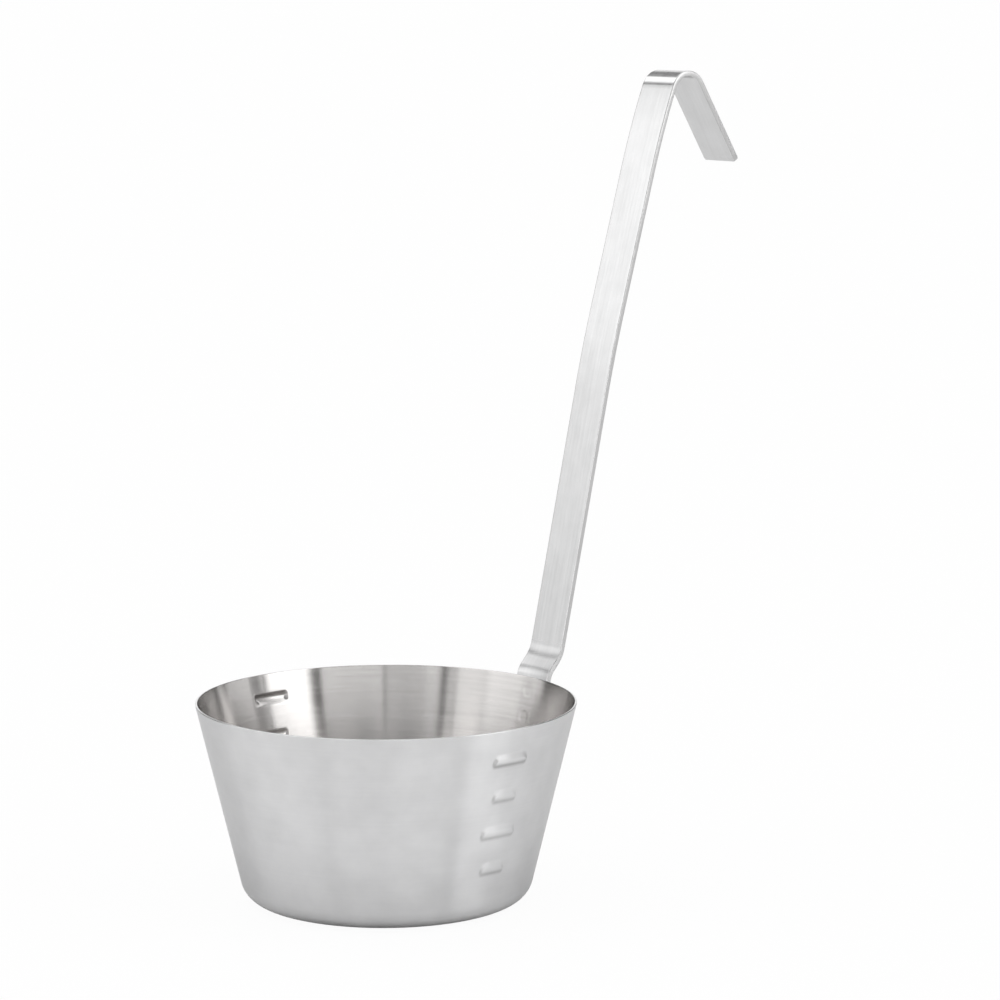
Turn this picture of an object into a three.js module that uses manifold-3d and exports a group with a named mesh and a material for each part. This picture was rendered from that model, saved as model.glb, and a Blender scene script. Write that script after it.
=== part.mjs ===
// Dipper ladle: a pressed steel measuring bowl with a long hooked strap handle spot-welded to its outside.
// Millimetres, +Z up. The origin is the centre of the bowl's flat underside, and the handle stands over +X.
import * as THREE from 'three';
import { mergeVertices } from 'three/addons/utils/BufferGeometryUtils.js';
import Module from 'manifold-3d';

// Bowl: a straight tapered wall, a rounded corner and a flat underside, all of one sheet
const rimRadius = 79; // outside, at the rim
const footRadius = 58.8; // outside, where the wall's straight line would meet the underside
const bowlHeight = 83.1;
const cornerRadius = 10; // outside, between wall and underside
const sheet = 0.9;

// Graduation marks: short beads pressed outwards, in two rows that face each other across the bowl.
// One row is in fluid ounces and the other in fractions of a litre, so their lowest marks differ.
const ounceMarkHeight = 24.1; // up the wall from the underside to the lowest mark
const litreMarkHeight = 25.8;
const markPitch = 16;
const rimMargin = 8; // least distance from a mark up to the rim
const shortMark = 13.2; // first and third mark from below
const longMark = 18.4; // second and fourth mark from below
const markWidth = 5.4;
const markProud = 1.2;
const litreRowTurn = 93; // degrees round from the handle; the ounce row faces it

// Spot welds: one column of lens-shaped nuggets between the handle's foot and the wall
const weldCount = 3;
const weldDiameter = 6;
const weldPitch = 11.5;
const topWeldDrop = 6; // from the rim down the wall to the top nugget
const weldBiteShare = 0.45; // how deep a nugget reaches into the sheet, as a share of its thickness

// Handle: a flat strap, followed from its foot on the wall up to the tip of its hook
const strapWidth = 19.7;
const strapThickness = 2.35;
const strapEdgeRound = 0.7;
const footMargin = 8; // from the lowest nugget down to the foot's end
const footEndRound = 6; // corner radius of the foot's end
const footRiseLength = 1.7; // from the rim up to where the strap turns away from the wall's line
const joggleBendRadius = 6;
const joggleLean = 39.75; // degrees from upright, on the short stretch that clears the rim
const joggleLength = 5.85;
const shankBendRadius = 8.6;
const shankLean = 12.75; // degrees from upright, on the lower shank
const lowerShankLength = 111.2;
const bowRadius = 620; // slight bow between the two halves of the shank
const upperShankLean = 16.05; // degrees from upright, on the upper shank
const upperShankLength = 60;
const hookLeadRadius = 402; // of the easy curve that leads into the hook
const hookLeadLean = 21.6; // degrees from upright, where the hook's bend begins
const hookRadius = 10; // of the hook's outer face
const hookTurn = 126.28; // degrees
const hookLegLength = 40.4; // straight stretch from the hook's bend to its tip
const tipRound = 1.5; // corner radius of the tip

// Fits
const seatGap = 0.3; // between the foot and the wall
const weldClearance = 0.15; // round a nugget in its pocket
const cutOver = 2; // how far the cutter for the bowl's inside runs past the rim

// Facets
const bowlSides = 96;
const cornerSteps = 6;
const markSides = 10;
const markEndRings = 4;
const markSteps = 3; // along a mark
const strapAcross = 6; // columns across a broad face
const strapEdgeSteps = 2; // round a quarter of an edge
const strapEndSteps = 5; // round a corner of an end
const bendStep = 10.55; // degrees
const bendLength = 13; // longest facet round an easy curve
const weldSides = 16;
const weldRings = 6;

const wasm = await Module();
wasm.setup();
const rad = THREE.MathUtils.degToRad;
const wallLean = Math.atan2(rimRadius - footRadius, bowlHeight);
const wallLength = bowlHeight / Math.cos(wallLean);
const wallUp = new THREE.Vector2(Math.sin(wallLean), Math.cos(wallLean));
const wallOut = new THREE.Vector2(Math.cos(wallLean), -Math.sin(wallLean));

// The outside of the wall, as radius and height, at a distance down its slope from the rim
function wallPoint(drop) {
  return new THREE.Vector2(rimRadius, bowlHeight).addScaledVector(wallUp, -drop);
}

// A closed solid for joining and cutting: shared corners merged, and no triangle without an area
function solidOf(geometry) {
  const bare = geometry.clone();
  bare.deleteAttribute('normal');
  bare.deleteAttribute('uv');
  const merged = mergeVertices(bare);
  const corners = merged.index.array;
  const kept = [];
  for (let i = 0; i < corners.length; i += 3) {
    const [a, b, c] = corners.slice(i, i + 3);
    if (a !== b && b !== c && c !== a) kept.push(a, b, c);
  }
  const vertProperties = new Float32Array(merged.attributes.position.array);
  const triVerts = new Uint32Array(kept);
  return new wasm.Manifold(new wasm.Mesh({ numProp: 3, vertProperties, triVerts }));
}

function meshOf(name, solid, material) {
  const { vertProperties, triVerts } = solid.getMesh();
  const geometry = new THREE.BufferGeometry();
  geometry.setAttribute('position', new THREE.BufferAttribute(vertProperties, 3));
  geometry.setIndex(new THREE.BufferAttribute(triVerts, 1));
  geometry.computeVertexNormals();
  const mesh = new THREE.Mesh(geometry, material);
  mesh.name = name;
  return mesh;
}

// Moves every vertex of a geometry to where the given function puts it
function reshape(geometry, place) {
  const position = geometry.attributes.position;
  for (let i = 0; i < position.count; i += 1) {
    const moved = place(position.getX(i), position.getY(i), position.getZ(i));
    position.setXYZ(i, moved.x, moved.y, moved.z);
  }
  return geometry;
}

// A plug of the bowl's outer shape up to the given height, or of its inner shape if inset is the sheet
function bowlPlug(inset, top) {
  const flatRadius = footRadius + cornerRadius * Math.tan(wallLean) - cornerRadius / Math.cos(wallLean);
  const profile = new THREE.Path();
  profile.moveTo(0, inset);
  profile.lineTo(flatRadius, inset);
  profile.absarc(flatRadius, cornerRadius, cornerRadius - inset, -Math.PI / 2, -wallLean, false);
  profile.lineTo(footRadius + top * Math.tan(wallLean) - inset / Math.cos(wallLean), top);
  profile.lineTo(0, top);
  const turned = new THREE.LatheGeometry(profile.getPoints(cornerSteps / 2), bowlSides);
  return solidOf(turned.rotateX(Math.PI / 2));
}

// One mark: a capsule sunk in the wall and bent round the bowl; inset gives the groove on its inside
function markBead(length, rise, turn, inset) {
  const radius = ((markWidth / 2) ** 2 + markProud ** 2) / (2 * markProud);
  const axis = wallPoint(wallLength - rise).addScaledVector(wallOut, markProud - radius);
  const straight = length - markWidth;
  const capsule = new THREE.CapsuleGeometry(radius - inset, straight, markEndRings, markSides, markSteps);
  const bent = reshape(capsule, (out, along, up) => {
    const angle = rad(turn) + along / axis.x;
    const reach = axis.x + out;
    return new THREE.Vector3(reach * Math.cos(angle), reach * Math.sin(angle), axis.y + up);
  });
  return solidOf(bent);
}

// The marks of both rows, as many as fit below the rim
function markBeads(inset) {
  const rows = [
    { turn: litreRowTurn, lowest: litreMarkHeight },
    { turn: litreRowTurn + 180, lowest: ounceMarkHeight },
  ];
  return rows.flatMap(({ turn, lowest }) => {
    const count = Math.floor((wallLength - rimMargin - lowest) / markPitch) + 1;
    return Array.from({ length: count }, (_, i) => {
      const length = i % 2 === 0 ? shortMark : longMark;
      return markBead(length, lowest + i * markPitch, turn, inset);
    });
  });
}

function bowl(weldPockets) {
  const outside = markBeads(0).reduce((whole, bead) => whole.add(bead), bowlPlug(0, bowlHeight));
  const cutters = [bowlPlug(sheet, bowlHeight + cutOver), ...markBeads(sheet), ...weldPockets];
  return cutters.reduce((left, cutter) => left.subtract(cutter), outside);
}

// The strap's runs in order from its foot: straight lengths, and turns at the radius of the bowl-side face
const footDepth = topWeldDrop + (weldCount - 1) * weldPitch + footMargin;
const footRun = footDepth + footRiseLength;
const strapRuns = [
  { length: footRun },
  { turn: rad(joggleLean) - wallLean, radius: joggleBendRadius },
  { length: joggleLength },
  { turn: rad(shankLean - joggleLean), radius: shankBendRadius },
  { length: lowerShankLength },
  { turn: rad(upperShankLean - shankLean), radius: bowRadius },
  { length: upperShankLength },
  { turn: rad(hookLeadLean - upperShankLean), radius: hookLeadRadius },
  { turn: rad(hookTurn), radius: hookRadius },
  { length: hookLegLength },
];
for (const run of strapRuns) run.length ??= Math.abs(run.turn) * run.radius;
const strapLength = strapRuns.reduce((sum, run) => sum + run.length, 0);
const joggleEnd = strapRuns.slice(0, 4).reduce((sum, run) => sum + run.length, 0);

// The bowl-side face at a length along the strap: its point as radius and height, and its lean from upright
function strapAt(along) {
  const point = wallPoint(footDepth).addScaledVector(wallOut, seatGap);
  let lean = wallLean;
  let left = along;
  for (const { length, turn = 0 } of strapRuns) {
    const walked = Math.min(left, length);
    const turned = (turn * walked) / length;
    const chord = turned === 0 ? walked : (walked * Math.sin(turned / 2)) / (turned / 2);
    point.x += chord * Math.sin(lean + turned / 2);
    point.y += chord * Math.cos(lean + turned / 2);
    lean += turned;
    left -= walked;
  }
  return { point, lean };
}

// Corner radii of the two ends, which can't be more than half the strap's width
const footCorner = Math.min(footEndRound, strapWidth / 2);
const tipCorner = Math.min(tipRound, strapWidth / 2);

// The lengths at which the strap gets a section: round its end corners, at run ends and round its turns
function strapStations() {
  const stations = new Set([0, strapLength]);
  for (let i = 1; i <= strapEndSteps; i += 1) {
    const share = 1 - Math.cos((i / strapEndSteps) * (Math.PI / 2));
    stations.add(footCorner * share).add(strapLength - tipCorner * share);
  }
  let start = 0;
  for (const { length, turn = 0 } of strapRuns.slice(0, -1)) {
    const steps = turn === 0 ? 1 : Math.ceil(Math.max(Math.abs(turn) / rad(bendStep), length / bendLength));
    for (let i = 1; i <= steps; i += 1) stations.add(start + (length * i) / steps);
    start += length;
  }
  return [...stations].sort((a, b) => a - b);
}

// Half the strap's width, drawn in round the corners of both its ends
function strapHalfWidth(along) {
  const lost = (radius, fromEnd) => radius - Math.sqrt(radius ** 2 - Math.max(0, radius - fromEnd) ** 2);
  return strapWidth / 2 - lost(footCorner, along) - lost(tipCorner, strapLength - along);
}

// The strap's cross-section, thickness by width: a flat bar with rounded edges, its broad faces in columns
// so that they can be cupped
function strapSection() {
  const round = Math.min(strapEdgeRound, strapThickness / 2);
  const flat = strapWidth / 2 - round;
  const section = new THREE.Shape();
  section.moveTo(strapThickness, -flat);
  for (const side of [1, -1]) {
    const face = side === 1 ? strapThickness : 0;
    const near = face - side * round;
    const far = strapThickness - near;
    const start = side === 1 ? 0 : Math.PI;
    for (let i = 1; i <= strapAcross; i += 1) {
      section.lineTo(face, side * THREE.MathUtils.lerp(-flat, flat, i / strapAcross));
    }
    section.absarc(near, side * flat, round, start, start + Math.PI / 2, false);
    section.absarc(far, side * flat, round, start + Math.PI / 2, start + Math.PI, false);
  }
  return section;
}

// The strap: the section run straight, then laid along the bends, with its foot cupped round the bowl
function handle(weldPockets) {
  const stations = strapStations();
  const steps = stations.length - 1;
  const options = { depth: steps, steps, bevelEnabled: false, curveSegments: strapEdgeSteps };
  const straight = new THREE.ExtrudeGeometry(strapSection(), options);
  const bent = reshape(straight, (away, across, station) => {
    const along = stations[Math.round(station)];
    const { point, lean } = strapAt(along);
    const reach = point.x + away * Math.cos(lean);
    const side = (across * strapHalfWidth(along)) / (strapWidth / 2);
    const angle = side / point.x;
    const cup = 1 - THREE.MathUtils.smoothstep(along, footRun, joggleEnd);
    const x = THREE.MathUtils.lerp(reach, reach * Math.cos(angle), cup);
    const y = THREE.MathUtils.lerp(side, reach * Math.sin(angle), cup);
    return new THREE.Vector3(x, y, point.y - away * Math.sin(lean));
  });
  return weldPockets.reduce((left, pocket) => left.subtract(pocket), solidOf(bent));
}

// One nugget: a lens centred in the gap between foot and wall; grow gives the pocket round it
function weldLens(drop, grow) {
  const radius = weldDiameter / 2 + grow;
  const halfThickness = seatGap / 2 + weldBiteShare * sheet + grow;
  const centre = wallPoint(drop).addScaledVector(wallOut, seatGap / 2);
  const lens = new THREE.SphereGeometry(1, weldSides, weldRings);
  lens.rotateX(Math.PI / 2);
  lens.scale(radius, radius, halfThickness);
  lens.rotateY(Math.PI / 2 + wallLean);
  lens.translate(centre.x, 0, centre.y);
  return solidOf(lens);
}

const satinSteel = new THREE.MeshStandardMaterial({ color: 0xc9cacc, roughness: 0.32, metalness: 1 });
const strapSteel = new THREE.MeshStandardMaterial({ color: 0xd2d3d5, roughness: 0.28, metalness: 1 });
const weldSteel = new THREE.MeshStandardMaterial({ color: 0xb4b5b7, roughness: 0.45, metalness: 1 });

const weldDrops = Array.from({ length: weldCount }, (_, i) => topWeldDrop + i * weldPitch);
const weldPockets = weldDrops.map((drop) => weldLens(drop, weldClearance));

const dipper = new THREE.Group();
dipper.add(meshOf('bowl', bowl(weldPockets), satinSteel));
dipper.add(meshOf('handle', handle(weldPockets), strapSteel));
weldDrops.forEach((drop, i) => {
  dipper.add(meshOf(`spot_weld_${i + 1}`, weldLens(drop, 0), weldSteel));
});

export default dipper;
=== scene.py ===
import bpy
import numpy as np
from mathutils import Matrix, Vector


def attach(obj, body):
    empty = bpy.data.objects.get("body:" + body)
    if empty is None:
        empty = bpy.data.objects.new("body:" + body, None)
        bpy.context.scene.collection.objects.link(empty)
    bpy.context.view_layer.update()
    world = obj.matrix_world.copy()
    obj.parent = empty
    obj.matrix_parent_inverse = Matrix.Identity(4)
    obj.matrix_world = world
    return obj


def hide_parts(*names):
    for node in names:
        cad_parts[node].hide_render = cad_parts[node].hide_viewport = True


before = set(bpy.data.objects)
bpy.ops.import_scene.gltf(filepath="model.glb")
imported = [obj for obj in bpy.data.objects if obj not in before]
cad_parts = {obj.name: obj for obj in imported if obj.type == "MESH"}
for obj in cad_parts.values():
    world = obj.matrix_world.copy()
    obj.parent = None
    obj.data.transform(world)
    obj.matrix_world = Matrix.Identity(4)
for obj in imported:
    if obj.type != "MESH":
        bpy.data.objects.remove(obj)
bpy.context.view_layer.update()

# Bowl: one disc of stainless sheet, pressed into a tapered cup with a rounded bottom corner, its rim trimmed and
# deburred. The graduation marks are short beads pressed outwards in two rows, ounces facing fractions of a litre.
# Outside it has a satin finish; inside it is polished as it spins, which leaves fine lines that run round it.
rim_radius = 0.0790
foot_radius = 0.0588  # where the wall's straight line would meet the underside
bowl_height = 0.0831
corner_radius = 0.0100
sheet = 0.0009
rim_edge = 0.00035  # how far the deburred rim is rounded over
rim_squareness = 0.6  # power of that rounding: 1 is a half ellipse, less is squarer

wall_lean = np.arctan2(rim_radius - foot_radius, bowl_height)
wall_length = bowl_height / np.cos(wall_lean)
wall_up = np.array([np.sin(wall_lean), np.cos(wall_lean)])
wall_out = np.array([np.cos(wall_lean), -np.sin(wall_lean)])

mark_pitch = 0.0160
mark_lengths = np.array([0.0132, 0.0184, 0.0132, 0.0184])  # from the lowest mark up, as are the next two
mark_prouds = np.array([0.00055, 0.00055, 0.00058, 0.00088])
mark_slopes = np.array([0.0042, 0.0042, 0.0042, 0.0036])  # width of a bead's soft side
mark_flank = 0.0022  # width of its steep side
mark_end = 0.0015  # how far the rounding of its ends reaches on the steep side
end_spread = 3  # how many times that is added at the foot of the soft side
slope_power = 1.6  # hollows the soft side
crown_power = 1.25  # eases every side into the wall
mark_rows = [  # turn from the handle, rise of the lowest crown, and 1 if the steep side is its upper one, else -1
    (np.radians(93), 0.0270, 1),
    (np.radians(-87), 0.0238, -1),
]

weld_drops = np.array([0.0060, 0.0175, 0.0290])  # of the spot welds, down the wall from the rim
dimple_radius = 0.0031
dimple_depth = 0.00005
dimple_flat = 0.7  # share of a dent's radius that is flat

plain_rise, marked_rise = 0.0010, 0.0003  # spacing up the plain wall, and over the beads
plain_turn, marked_turn = 4, 0.28  # degrees between points round the plain wall, and over beads and welds
mark_reach, weld_reach = 8.8, 3.6  # degrees to either side of a row of beads or welds that have the close spacing
hub_radius = 0.006  # of the innermost ring on base and floor


def wall_point(rise):
    """Radius and height on the wall's outside: the foot's corner point plus the rise times the wall's direction."""
    return np.array([foot_radius, 0]) + np.multiply.outer(rise, wall_up)


def mark_swell(rise, turn):
    """How far the beads push the wall out: a crown line that falls off with the square of the distance from it, in a
    short steep flank on one side and a long soft slope on the other. It rounds down at both ends, more gently the
    further it is down the soft slope."""
    swell = np.zeros(np.broadcast(rise, turn).shape)
    for row_turn, lowest, steep_side in mark_rows:
        aside = np.abs((turn - row_turn + np.pi) % (2 * np.pi) - np.pi) * (foot_radius + rise * wall_up[0])
        for place, (slope, length, proud) in enumerate(zip(mark_slopes, mark_lengths, mark_prouds)):
            off = steep_side * (rise - lowest - place * mark_pitch)
            flank, soft = np.clip(off / mark_flank, 0, 1), np.clip(-off / slope, 0, 1)
            past_end = np.clip((aside - length / 2) / (mark_end * (1 + end_spread * soft)) + 1, 0, 1)
            swell += proud * ((1 - past_end**2) * (1 - flank**2) * (1 - soft**2) ** slope_power) ** crown_power
    return swell


def weld_dimple(down, aside):
    """Depth of the flat-bottomed dents that the welding tips leave: a smooth step at their edge."""
    depth = 0
    for drop in weld_drops:
        edge = np.clip((np.hypot(down - drop, aside) / dimple_radius - dimple_flat) / (1 - dimple_flat), 0, 1)
        depth = depth + dimple_depth * (1 - edge**2 * (3 - 2 * edge))
    return depth


def close_set(first, last, step, zones, fine_step):
    """Values from first to last: one step apart, and a finer step apart within half of each zone's middle."""
    coarse = np.arange(first, last, step)
    margin = 0.6 * fine_step  # keeps the coarse values off the fine ones at a zone's ends
    clear = np.all([np.abs(coarse - middle) > half + margin for middle, half in zones], axis=0)
    fine = [np.arange(middle - half, middle + half, fine_step) for middle, half in zones]
    return np.sort(np.concatenate([coarse[clear], *fine]))


def rim_round(wave):
    """A sine or cosine made squarer: its size to a power below 1, with its sign."""
    return np.sign(wave) * np.abs(wave) ** rim_squareness


def bowl_profile():
    """The sheet's outline as radius and height, from the underside's centre out, up, over the rim and back inside.

    Lines for underside, wall and floor, part circles at the corner, and a squared-off half ellipse over the rim.
    Returned with it: each point's rise on the wall, and 1 for the outside, -1 for the inside, 0 elsewhere.
    """
    flat = foot_radius + corner_radius * np.tan(wall_lean) - corner_radius / np.cos(wall_lean)
    spread = np.linspace(hub_radius, flat, 9)[:-1]
    bend = np.linspace(-np.pi / 2, -wall_lean, 15)
    arc = np.stack([np.cos(bend), np.sin(bend)], 1)
    centre = np.array([flat, corner_radius])
    bottom = (centre + corner_radius * arc[-1] - [foot_radius, 0]) @ wall_up
    top = wall_length - rim_edge - sheet * np.sin(wall_lean)
    lowest = [row[1] for row in mark_rows]
    reach = np.ptp(lowest) / 2 + mark_flank
    marked = [(np.mean(lowest) + place * mark_pitch, reach) for place in range(len(mark_lengths))]
    rise = close_set(bottom + 0.7 * plain_rise, top - 0.3 * plain_rise, plain_rise, marked, marked_rise)
    wall = wall_point(np.append(rise, top))
    over = np.linspace(0, np.pi, 13)[1:-1]
    across_rim = np.outer(rim_round(np.cos(over)), wall_out * sheet / 2)
    up_rim = np.outer(rim_round(np.sin(over)), wall_up * rim_edge)
    parts = [
        (np.stack([spread, 0 * spread], 1), 0),
        (centre + corner_radius * arc, 0),
        (wall, 1),
        (wall[-1] - sheet / 2 * wall_out + across_rim + up_rim, 0),
        ((wall - sheet * wall_out)[::-1], -1),
        ((centre + (corner_radius - sheet) * arc)[::-1], 0),
        (np.stack([spread, 0 * spread + sheet], 1)[::-1], 0),
    ]
    outline = np.concatenate([points for points, _ in parts])
    side = np.concatenate([np.full(len(points), mark) for points, mark in parts])
    return outline, (outline - [foot_radius, 0]) @ wall_up, side


def closed_surface(name, rings, ends, lay, around, along):
    """A mesh from rings of points: quads between neighbouring rings, and a fan of triangles to a point at each end.

    lay is each point's place in the metal's grain, and around and along are the UV map's two directions.
    """
    count, size = rings.shape[:2]
    row, col = np.meshgrid(np.arange(count - 1), np.arange(size), indexing="ij")
    row, col = row.ravel(), col.ravel()
    after = (col + 1) % size
    quads = np.stack([row * size + col, row * size + after, (row + 1) * size + after, (row + 1) * size + col], 1)
    col_uv = np.stack([around[col], around[col + 1], around[col + 1], around[col]], 1)
    row_uv = np.stack([along[row], along[row], along[row + 1], along[row + 1]], 1)
    tip = np.arange(size)
    after = (tip + 1) % size
    last = (count - 1) * size
    first_fan = np.stack([0 * tip + count * size, after, tip], 1)
    last_fan = np.stack([0 * tip + count * size + 1, last + tip, last + after], 1)
    middle = (around[tip] + around[tip + 1]) / 2
    fan_uv = [
        np.stack([np.stack([middle, around[tip + 1], around[tip]], 1), np.full((size, 3), along[0])], 2),
        np.stack([np.stack([middle, around[tip], around[tip + 1]], 1), np.full((size, 3), along[-1])], 2),
    ]
    mesh = bpy.data.meshes.new(name)
    points = np.concatenate([rings.reshape(-1, 3), ends])
    mesh.from_pydata(points.tolist(), [], quads.tolist() + first_fan.tolist() + last_fan.tolist())
    mesh.polygons.foreach_set("use_smooth", np.ones(len(mesh.polygons), bool))
    uv = np.concatenate([np.stack([col_uv, row_uv], 2).reshape(-1, 2), *[fan.reshape(-1, 2) for fan in fan_uv]])
    mesh.uv_layers.new(name="grain_map").data.foreach_set("uv", uv.astype(np.float32).ravel())
    grain = mesh.attributes.new("lay", "FLOAT_VECTOR", "POINT")
    grain.data.foreach_set("vector", lay.astype(np.float32).ravel())
    mesh.update()
    piece = bpy.data.objects.new(name, mesh)
    bpy.context.scene.collection.objects.link(piece)
    return piece


def store_darkening(piece, rings_of_darkening):
    """Stores how far each point of a piece is greyed, from 0 to 1, by real heat tint or painted shade; its two end
    points stay bare.
    """
    tint_and_shade = piece.data.attributes.new("tint_and_shade", "FLOAT", "POINT")
    tint_and_shade.data.foreach_set("value", np.append(rings_of_darkening.ravel(), [0, 0]).astype(np.float32))


def feed(tree, socket, term):
    """Links another node's output to a socket, or sets the socket to a fixed number or colour."""
    if isinstance(term, bpy.types.NodeSocket):
        tree.links.new(term, socket)
    else:
        socket.default_value = term


def worked(tree, operation, *terms):
    """One step of arithmetic on fixed numbers or other nodes' outputs."""
    node = tree.nodes.new("ShaderNodeMath")
    node.operation = operation
    for socket, term in zip(node.inputs, terms):
        feed(tree, socket, term)
    return node.outputs[0]


def blended(tree, share, first, second, kind="FLOAT"):
    """Two values or colours mixed; the share is the second one's."""
    node = tree.nodes.new("ShaderNodeMix")
    node.data_type = kind
    for name, term in (("Factor", share), ("A", first), ("B", second)):
        feed(tree, node.inputs[name], term)
    return node.outputs["Result"]


def ranged(tree, value, start, end, at_start, at_end, easing="LINEAR"):
    """A value that runs from at_start to at_end while another runs from start to end, and stays put beyond them."""
    node = tree.nodes.new("ShaderNodeMapRange")
    node.interpolation_type = easing
    names = ("Value", "From Min", "From Max", "To Min", "To Max")
    for name, term in zip(names, (value, start, end, at_start, at_end)):
        feed(tree, node.inputs[name], term)
    return node.outputs["Result"]


def toned(tree, value, start, dark, end, light):
    """A colour that runs from dark to light while a value runs from start to end."""
    ramp = tree.nodes.new("ShaderNodeValToRGB")
    for stop, position, colour in zip(ramp.color_ramp.elements, (start, end), (dark, light)):
        stop.position, stop.color = position, (*colour, 1)
    feed(tree, ramp.inputs["Fac"], value)
    return ramp.outputs["Color"]


noise_low, noise_high = 0.3, 0.7  # the range that a noise's values mostly keep to
fine_lines = 9  # how many times closer than the broad lines the fine ones are
broad_share = 0.6
line_strength, line_depth = 0.1, 0.0002  # of the dents that the lines make
grazing_tint = (0.85, 0.85, 0.85, 1)
# the grey that real heat tint and painted shade mix the steel towards
tint_and_shade_grey = (0.33, 0.325, 0.32, 1)


def brushed_steel(name, light, dark, roughness, stretch, turned, lines, clouds, cloudy):
    """Steel whose polish has a direction: noise stretched along the grain gives fine and broad lines, and a soft
    noise gives cloudy patches. Both change colour and roughness a little, and the lines also dent the surface. Where
    the mesh says so, it is greyed: by real heat tint, and by painted shade."""
    material = bpy.data.materials.new(name)
    material.use_nodes = True
    tree = material.node_tree
    steel = tree.nodes["Principled BSDF"]
    steel.inputs["Metallic"].default_value = 1
    steel.inputs["Anisotropic"].default_value = stretch
    steel.inputs["Anisotropic Rotation"].default_value = turned
    steel.inputs["Specular Tint"].default_value = grazing_tint
    tangent = tree.nodes.new("ShaderNodeTangent")
    tangent.direction_type = "UV_MAP"
    tangent.uv_map = "grain_map"
    feed(tree, steel.inputs["Tangent"], tangent.outputs["Tangent"])
    lay = tree.nodes.new("ShaderNodeAttribute")
    lay.attribute_name = "lay"
    tint_and_shade = tree.nodes.new("ShaderNodeAttribute")
    tint_and_shade.attribute_name = "tint_and_shade"

    def noise(scale, detail):
        place = tree.nodes.new("ShaderNodeVectorMath")
        place.operation = "MULTIPLY"
        feed(tree, place.inputs[0], lay.outputs["Vector"])
        feed(tree, place.inputs[1], scale)
        texture = tree.nodes.new("ShaderNodeTexNoise")
        texture.inputs["Scale"].default_value = 1
        texture.inputs["Detail"].default_value = detail
        feed(tree, texture.inputs["Vector"], place.outputs["Vector"])
        return texture.outputs["Fac"]

    grain = blended(tree, broad_share, noise(np.multiply(lines, fine_lines), 2), noise(lines, 3))
    marked = blended(tree, cloudy, grain, noise((clouds, clouds, clouds), 4))
    bare_tone = toned(tree, marked, noise_low, dark, noise_high, light)
    feed(tree, steel.inputs["Base Color"], blended(tree, tint_and_shade.outputs["Fac"], bare_tone, tint_and_shade_grey, "RGBA"))
    feed(tree, steel.inputs["Roughness"], ranged(tree, marked, noise_low, noise_high, *roughness))
    dent = tree.nodes.new("ShaderNodeBump")
    dent.inputs["Strength"].default_value = line_strength * (1 - cloudy)
    dent.inputs["Distance"].default_value = line_depth
    feed(tree, dent.inputs["Height"], grain)
    feed(tree, steel.inputs["Normal"], dent.outputs["Normal"])
    return material


outline, rise, side = bowl_profile()
marked = [(np.degrees(row[0]), mark_reach) for row in mark_rows] + [(0, weld_reach)]
turns = np.radians(close_set(-180, 180, plain_turn, marked, marked_turn))
rise, side = rise[:, None], side[:, None]
dents = np.where(side < 0, weld_dimple(wall_length - rise, np.abs(turns) * rim_radius), 0)
push = np.where(side != 0, mark_swell(rise, turns), 0) + dents
radius = outline[:, :1] + push * wall_out[0]
rings = np.stack([radius * np.cos(turns), radius * np.sin(turns), outline[:, 1:] + push * wall_out[1]], 2)
ends = np.array([[0, 0, 0], [0, 0, sheet]])
walked = np.concatenate([[0], np.cumsum(np.hypot(*np.diff(outline, axis=0).T))])
grain = np.stack([rings[..., 0], rings[..., 1], np.broadcast_to(walked[:, None], push.shape)], 2)
grain = np.concatenate([grain.reshape(-1, 3), [[0, 0, 0], [0, 0, walked[-1]]]])
around = np.append(turns, turns[0] + 2 * np.pi)
bowl = closed_surface("bowl_pressing", rings, ends, grain, around, walked / walked[-1])

# Painted shade: the outside is greyed along the beads' steep flanks and at one end of each bead, on the base where
# it stands, and a little over the lower wall, more towards the bottom.
# strength of the painted shade on the beads' steep flanks, and the slope it is measured against
flank_shade, flank_slope = 0.45, 0.4
unshaded_below = 0.3  # share of that slope up to which a flank is not shaded
base_shade, base_shade_height = 0.65, 0.004
low_shade, low_shade_height = 0.14, 0.035
# painted shade on one end of each bead: where the swell rises with the turn
shaded_end_slope = np.maximum(np.gradient(push, turns, axis=1) / rim_radius, 0)
steep = np.hypot(np.gradient(push, rise.ravel(), axis=0), shaded_end_slope)
inner_start = np.argmax(side.ravel() < 0)  # the row of the outline where the inside's wall begins, at the rim
height = outline[:, 1:]
# painted shade where the base meets the floor
base_shading = base_shade * np.clip(1 - height / base_shade_height, 0, 1)
# painted shade over the lower outside, darker towards the bottom
low_shading = base_shading + low_shade * np.clip(1 - height / low_shade_height, 0, 1)
low_shading = np.where(np.arange(len(outline))[:, None] < inner_start, low_shading, 0)
store_darkening(bowl, low_shading + np.where(side > 0, flank_shade * np.clip(steep / flank_slope - unshaded_below, 0, 1), 0))

bowl.data.materials.append(brushed_steel(
    "bowl_satin", light=(0.788, 0.788, 0.793), dark=(0.685, 0.685, 0.69), roughness=(0.30, 0.34),
    stretch=0.97, turned=0.25, lines=(25, 25, 900), clouds=60, cloudy=0.78,
))
bowl.data.materials.append(brushed_steel(
    "bowl_polish", light=(0.71, 0.695, 0.685), dark=(0.575, 0.56, 0.55), roughness=(0.17, 0.24),
    stretch=0.98, turned=0.25, lines=(18, 18, 700), clouds=55, cloudy=0.3,
))
polished_rim = 4  # how many strips of the rim, on its inner side, are polished too
polished = np.arange(len(outline) - 1) >= inner_start - polished_rim
base_fan, floor_fan = np.zeros(len(turns), bool), np.ones(len(turns), bool)
polished = np.concatenate([np.repeat(polished, len(turns)), base_fan, floor_fan])
bowl.data.polygons.foreach_set("material_index", polished.astype(np.int32))
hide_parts("bowl")
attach(bowl, "root")

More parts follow.
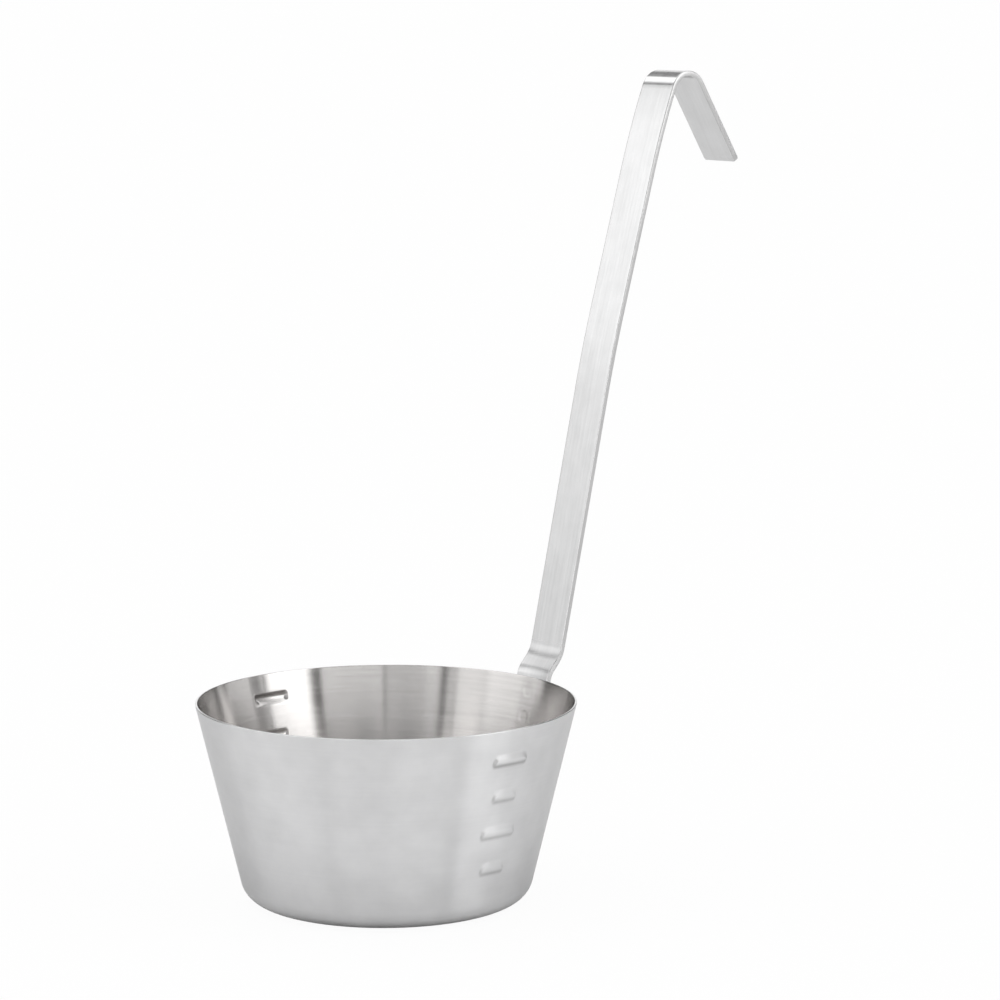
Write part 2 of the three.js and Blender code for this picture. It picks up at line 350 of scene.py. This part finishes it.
# Spot welds: nuggets of fused steel, in one column, where a welding machine has squeezed strap and wall together.
# They lie between the two, so only the shallow dents over them show. Fused steel is grey, rough and mottled.
weld_dark, weld_light = (0.30, 0.29, 0.28), (0.52, 0.51, 0.50)
weld_roughness = 0.4, 0.65
mottle_scale, mottle_detail = 1200, 4
weld_steel = bpy.data.materials.new("weld_nugget")
weld_steel.use_nodes = True
weld_tree = weld_steel.node_tree
fused = weld_tree.nodes["Principled BSDF"]
fused.inputs["Metallic"].default_value = 1
place = weld_tree.nodes.new("ShaderNodeTexCoord")
mottle = weld_tree.nodes.new("ShaderNodeTexNoise")
mottle.inputs["Scale"].default_value = mottle_scale
mottle.inputs["Detail"].default_value = mottle_detail
feed(weld_tree, mottle.inputs["Vector"], place.outputs["Object"])
fused_tone = toned(weld_tree, mottle.outputs["Fac"], 0, weld_dark, 1, weld_light)
feed(weld_tree, fused.inputs["Base Color"], fused_tone)
feed(weld_tree, fused.inputs["Roughness"], ranged(weld_tree, mottle.outputs["Fac"], 0, 1, *weld_roughness))
for number in range(1, len(weld_drops) + 1):
    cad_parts[f"spot_weld_{number}"].material_slots[0].material = weld_steel

# Handle: one stainless strap with rounded edges, bent in a jig: a foot cupped to the wall, a joggle over the rim,
# a long shank with a slight bow, and an open hook. It is brushed lengthwise and spot-welded to the bowl's outside.
strap_width = 0.0197
strap_thickness = 0.00235
strap_edge = 0.0004
end_edge = 0.0006  # how far the cut ends are rounded over
foot_corner = 0.0060
tip_corner = 0.0015
seat_gap = 0.0003
foot_margin = 0.0080  # from the lowest weld down to the foot's end
foot_depth = weld_drops[-1] + foot_margin
foot_past_rim = 0.00077
foot_lean = np.degrees(wall_lean)
runs = np.array([  # straight length, radius of the bend's bowl-side face, and lean from upright at the run's end
    (foot_depth + foot_past_rim, 0, foot_lean),  # foot
    (0, 0.0100, 39.75),  # bend away from the wall
    (0.00363, 0, 39.75),  # joggle
    (0, 0.0140, 12.75),  # bend up again
    (0.1099, 0, 12.75),  # lower shank
    (0, 0.6200, 16.05),  # slight bow
    (0.0600, 0, 16.05),  # upper shank
    (0, 0.4020, 21.6),  # easy curve that leads into the hook
    (0, 0.0099, 147.88),  # hook
    (0.0404, 0, 147.88),  # the hook's leg
])
run_leans = np.radians(np.append(foot_lean, runs[:, 2]))
run_turns = np.diff(run_leans)
run_lengths = runs[:, 0] + np.abs(run_turns) * runs[:, 1]
run_starts = np.concatenate([[0], np.cumsum(run_lengths)])
total = run_starts[-1]
joggle_start, joggle_end = run_starts[1], run_starts[4]
foot_stations, bend_stations, straight_stations = 90, 24, 14  # points along the foot, each bend and each straight


def along_run(walked, lean, turn, length):
    """The step made on a run: the chord of the arc walked so far, at the arc's mean lean."""
    half = turn * walked / length / 2
    return (walked * np.sinc(half / np.pi))[..., None] * np.stack([np.sin(lean + half), np.cos(lean + half)], -1)


run_steps = along_run(run_lengths, run_leans[:-1], run_turns, run_lengths)
foot_end = wall_point(wall_length - foot_depth) + seat_gap * wall_out
run_points = foot_end + np.concatenate([[[0, 0]], np.cumsum(run_steps, axis=0)])


def strap_line(along):
    """Radius and height of the strap's bowl-side face, and its lean from upright, at lengths along the strap."""
    run = np.clip(np.searchsorted(run_starts, along, "right") - 1, 0, len(run_lengths) - 1)
    walked = along - run_starts[run]
    point = run_points[run] + along_run(walked, run_leans[run], run_turns[run], run_lengths[run])
    return point, run_leans[run] + run_turns[run] * walked / run_lengths[run]


def strap_section():
    """The strap's cross-section, as distance away from the bowl and across: a bar with four quarter-round edges. The
    points on its faces stand closer towards the edges, as the sines of even angles do."""
    flat = strap_width / 2 - strap_edge
    across = flat * np.sin(np.linspace(-np.pi / 2, np.pi / 2, 41))
    bend = np.linspace(0, np.pi / 2, 6)
    arc = strap_edge * np.stack([np.cos(bend), np.sin(bend)], 1)
    outer = strap_thickness - strap_edge
    half = np.concatenate([
        np.stack([0 * across + strap_thickness, across], 1)[1:-1],
        [outer, flat] + arc,
        [strap_edge, flat] + np.stack([-arc[:, 1], arc[:, 0]], 1),
    ])
    return np.concatenate([half, [strap_thickness, 0] - half])


def strap_stations():
    """Lengths along the strap: close together round the cut ends, the welds and the bends, far apart on the shank."""
    cut = 1 - np.cos(np.linspace(0, np.pi / 2, 7))
    counts = np.where(run_turns != 0, bend_stations, straight_stations)
    counts[0] = foot_stations
    spans = [np.linspace(*span) for span in zip(run_starts[:-1], run_starts[1:], counts)]
    ends = [end_edge * cut, foot_corner * cut, total - end_edge * cut, total - tip_corner * cut]
    return np.unique(np.clip(np.round(np.concatenate([*spans, *ends]), 6), 0, total))


def corner_loss(radius, distance):
    """How much a rounded corner takes off at a distance from the end: the circle's drop from its tangent."""
    return radius - np.sqrt(radius**2 - np.maximum(radius - distance, 0) ** 2)


stations = strap_stations()
line, lean = strap_line(stations)
section = strap_section()
loss = corner_loss(foot_corner, stations) + corner_loss(tip_corner, total - stations)
inset = corner_loss(end_edge, stations) + corner_loss(end_edge, total - stations)
narrow = 1 - (loss + inset) / (strap_width / 2)
thin = 1 - inset / (strap_thickness / 2)
across = section[:, 1] * narrow[:, None]
away = strap_thickness / 2 + (section[:, 0] - strap_thickness / 2) * thin[:, None]
on_face = section[:, 0] > strap_thickness - 1e-9
away = away - np.where(on_face, weld_dimple(foot_depth - stations[:, None], across), 0)
reach = line[:, :1] + away * np.cos(lean)[:, None]
height = line[:, 1:] - away * np.sin(lean)[:, None]
fade = np.clip((stations - joggle_start) / (joggle_end - joggle_start), 0, 1)[:, None]
cup = 1 - fade**2 * (3 - 2 * fade)  # how far the section follows the bowl's round: fully on the foot, not on the shank
angle = across / line[:, :1]
rings = np.stack([
    reach + cup * (reach * np.cos(angle) - reach),
    across + cup * (reach * np.sin(angle) - across),
    height,
], 2)
ends = rings[[0, -1]].mean(1)
grain = np.stack([across, away, np.broadcast_to(stations[:, None], across.shape)], 2)
grain = np.concatenate([grain.reshape(-1, 3), [[0, 0, 0], [0, 0, total]]])
around = np.concatenate([[0], np.cumsum(np.hypot(*np.diff(np.vstack([section, section[:1]]), axis=0).T))])
handle = closed_surface("handle_strap", rings, ends, grain, around, stations)

# Welding heat has left faint rings round the dents; the strap's sheared sides get painted shade, darker than its
# faces.
heat_tint, heat_width = 0.3, 0.3  # strength, and width as a share of a dent's radius
# painted shade on the strap's sheared sides and their rounded edges
side_shade = 0.3
weld_apart = np.min([np.hypot(foot_depth - stations[:, None] - drop, across) for drop in weld_drops], axis=0)
heat = np.where(on_face, heat_tint * np.exp(-((weld_apart / dimple_radius - 1) / heat_width) ** 2), 0)
store_darkening(handle, heat + side_shade * (np.abs(section[:, 1]) > strap_width / 2 - strap_edge / 2))
strap_satin = brushed_steel(
    "strap_satin", light=(0.745, 0.745, 0.747), dark=(0.595, 0.595, 0.597), roughness=(0.18, 0.24),
    stretch=0.6, turned=0, lines=(600, 600, 9), clouds=90, cloudy=0.35,
)
handle.data.materials.append(strap_satin)

# The jig has scuffed the joggle, so the steel is rougher there.
scuff_roughness, scuff_fade, scuff_margin = 0.16, 0.005, 0.002
scuff_half = (joggle_end - joggle_start) / 2 - scuff_margin
strap_tree = strap_satin.node_tree
strap_lay = strap_tree.nodes.new("ShaderNodeAttribute")
strap_lay.attribute_name = "lay"
axes = strap_tree.nodes.new("ShaderNodeSeparateXYZ")
feed(strap_tree, axes.inputs[0], strap_lay.outputs["Vector"])
off_middle = worked(strap_tree, "SUBTRACT", axes.outputs["Z"], (joggle_start + joggle_end) / 2)
apart = worked(strap_tree, "ABSOLUTE", off_middle)
scuff = ranged(strap_tree, apart, scuff_half, scuff_half + scuff_fade, scuff_roughness, 0, "SMOOTHSTEP")
rough = strap_tree.nodes["Principled BSDF"].inputs["Roughness"]
feed(strap_tree, rough, worked(strap_tree, "ADD", rough.links[0].from_socket, scuff))
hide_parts("handle")
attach(handle, "root")

# Studio floor: a wide sheet of matt white paper that the ladle stands on. To the camera it is nearly plain white and
# keeps the ladle's shadow.
floor_size = 60.0  # half its width
floor_drop = 0.0002
floor_white = (0.92, 0.92, 0.92, 1)
floor_seen, floor_mirrored = 0.95, 0.03  # share of plain white to the camera, and in what steel mirrors
floor_mesh = bpy.data.meshes.new("floor")
corners = np.array([[-1, -1, 0], [1, -1, 0], [1, 1, 0], [-1, 1, 0]]) * floor_size - [0, 0, floor_drop]
floor_mesh.from_pydata(corners.tolist(), [], [[0, 1, 2, 3]])
floor = bpy.data.objects.new("floor", floor_mesh)
bpy.context.scene.collection.objects.link(floor)


def plain_share(tree, seen, mirrored):
    """How much plain white stands in for the lit surface: one share to the camera, another in mirrors and glass."""
    rays = tree.nodes.new("ShaderNodeLightPath")
    bounced = worked(tree, "ADD", rays.outputs["Is Glossy Ray"], rays.outputs["Is Transmission Ray"])
    direct = worked(tree, "MULTIPLY", rays.outputs["Is Camera Ray"], seen)
    return worked(tree, "MULTIPLY_ADD", bounced, mirrored, direct)


paper = bpy.data.materials.new("white_floor")
paper.use_nodes = True
paper_tree = paper.node_tree
paper_tree.nodes.remove(paper_tree.nodes["Principled BSDF"])
matt_white = paper_tree.nodes.new("ShaderNodeBsdfDiffuse")
matt_white.inputs["Color"].default_value = floor_white
glow = paper_tree.nodes.new("ShaderNodeEmission")
cover = paper_tree.nodes.new("ShaderNodeMixShader")
feed(paper_tree, cover.inputs["Fac"], plain_share(paper_tree, floor_seen, floor_mirrored))
feed(paper_tree, cover.inputs[1], matt_white.outputs[0])
feed(paper_tree, cover.inputs[2], glow.outputs[0])
feed(paper_tree, paper_tree.nodes["Material Output"].inputs["Surface"], cover.outputs[0])
floor_mesh.materials.append(paper)

# Studio room: soft white panels with dark gaps and posts between them, which the steel mirrors, and one large soft
# lamp at the upper left. The room shows plain white to the camera.
room_seen, room_mirrored = 1, 0.06
room_level = 0  # brightness of the gaps
panels = [  # turn and half width, height and half height, softness of the edges, all in degrees; brightness
    (0, 181, 90, 25, 8, 1.37),  # overhead
    (50.3, 120, 58, 11, 12, 1.48),  # upper ring, behind and to both sides
    (0, 32, 55, 13, 10, 0.95),  # dimmer stretch of that ring, over the hook
    (-128.4, 45.1, 23.1, 21.5, 4, 0.5),  # front, behind the camera
    (-105.3, 22.4, 2.7, 8.7, 3, 2.31),  # front right, low
    (-145.4, 19.2, 5.3, 6.3, 3, 1.59),  # front left, low
    (151.1, 34.5, 17, 15, 4, 1.2),  # left
    (160.4, 32.9, 3.6, 5, 4, 0.84),  # left, low
    (148.3, 14.5, 21.7, 7.3, 6, 2.22),  # left, brightest part
    (127.3, 7, 24, 5.5, 3, 1.48),  # back left, mirrored in the strap's face
    (121.8, 4.5, 30.8, 3.8, 2, 0.05),  # gap above it, mirrored in the hook
    (110.8, 6, 32.2, 4.4, 2, 1.4),  # beside that gap, mirrored in the joggle
    (172.6, 32.4, 34.1, 11.2, 6, 1.29),  # left, high
    (108.2, 18.3, 41.4, 5.5, 6, 2.2),  # back left, high
    (-48.5, 29.7, 19.9, 16.5, 6, 1.34),  # right
    (-61.2, 15.5, 19.5, 11.1, 4, 2.38),  # right, brightest part
    (-15.7, 16, 11, 9.3, 6, 0.98),  # right, further back
    (-42.6, 33.3, 41.6, 7.3, 8, 1.55),  # right, high
    (-57.7, 17, 0, 6, 3, 2.6),  # right, at the floor
    (53.3, 17, 14, 15, 4, 1.27),  # straight behind
    (73.3, 11, 39, 6, 4, 0.15),  # gap high behind, mirrored in the hook's crown
    (-7.7, 3, 14, 30, 2, 0.15),  # five posts between the panels, mirrored as lines inside the bowl
    (-45, 1.3, 14, 30, 1.5, 0.2),
    (-83.5, 2.3, 14, 30, 2, 0),
    (-127, 1.2, 14, 30, 1.5, 0.41),
    (-165.7, 2.2, 14, 30, 2, 0),
]
room = bpy.data.worlds.new("studio_room")
bpy.context.scene.world = room
room.use_nodes = True
room_tree = room.node_tree
direction = room_tree.nodes.new("ShaderNodeTexCoord")
axes = room_tree.nodes.new("ShaderNodeSeparateXYZ")
feed(room_tree, axes.inputs[0], direction.outputs["Generated"])
compass = worked(room_tree, "ARCTAN2", axes.outputs["Y"], axes.outputs["X"])
climb = worked(room_tree, "ARCSINE", axes.outputs["Z"])


def soft_span(tree, value, middle, half, soft):
    """1 within half of the middle angle, falling smoothly to 0 over the soft width at either side; in degrees."""
    shifted = worked(tree, "SUBTRACT", value, np.radians(middle))
    apart = worked(tree, "ABSOLUTE", worked(tree, "WRAP", shifted, np.pi, -np.pi))
    return ranged(tree, apart, np.radians(half - soft / 2), np.radians(half + soft / 2), 1, 0, "SMOOTHSTEP")


level = room_level
for turn, half_width, lift, half_height, soft, bright in panels:
    across_panel = soft_span(room_tree, compass, turn, half_width, soft)
    up_panel = soft_span(room_tree, climb, lift, half_height, soft)
    level = blended(room_tree, worked(room_tree, "MULTIPLY", across_panel, up_panel), level, bright)
shown = blended(room_tree, plain_share(room_tree, room_seen, room_mirrored), level, 1)
feed(room_tree, room_tree.nodes["Background"].inputs["Strength"], shown)
room_tree.nodes["Background"].inputs["Color"].default_value = (1, 1, 1, 1)


def set_up(thing, place, aim):
    """Puts a lamp or camera at its place and turns it to look at the aim."""
    bpy.context.scene.collection.objects.link(thing)
    thing.location = place
    thing.rotation_mode = "QUATERNION"
    thing.rotation_quaternion = (Vector(aim) - Vector(place)).to_track_quat("-Z", "Y")


lamp_data = bpy.data.lights.new("soft_lamp", "AREA")
lamp_data.shape = "DISK"
lamp_data.size = 1.4
lamp_data.energy = 1.6
set_up(bpy.data.objects.new("soft_lamp", lamp_data), place=(-0.4, -0.2, 1.8), aim=(0.05, 0, 0.1))

# Camera: on the side away from the handle, higher than the rim and looking a little down. It stands far off with a
# long lens, as for a product photograph.
camera_data = bpy.data.cameras.new("camera")
camera_data.sensor_width = 36
camera_data.lens = 135.04
camera = bpy.data.objects.new("camera", camera_data)
set_up(camera, place=(-0.9366, -1.2024, 0.3898), aim=(0.0457, -0.0186, 0.1646))
bpy.context.scene.camera = camera
bpy.context.scene.view_settings.view_transform = "Standard"
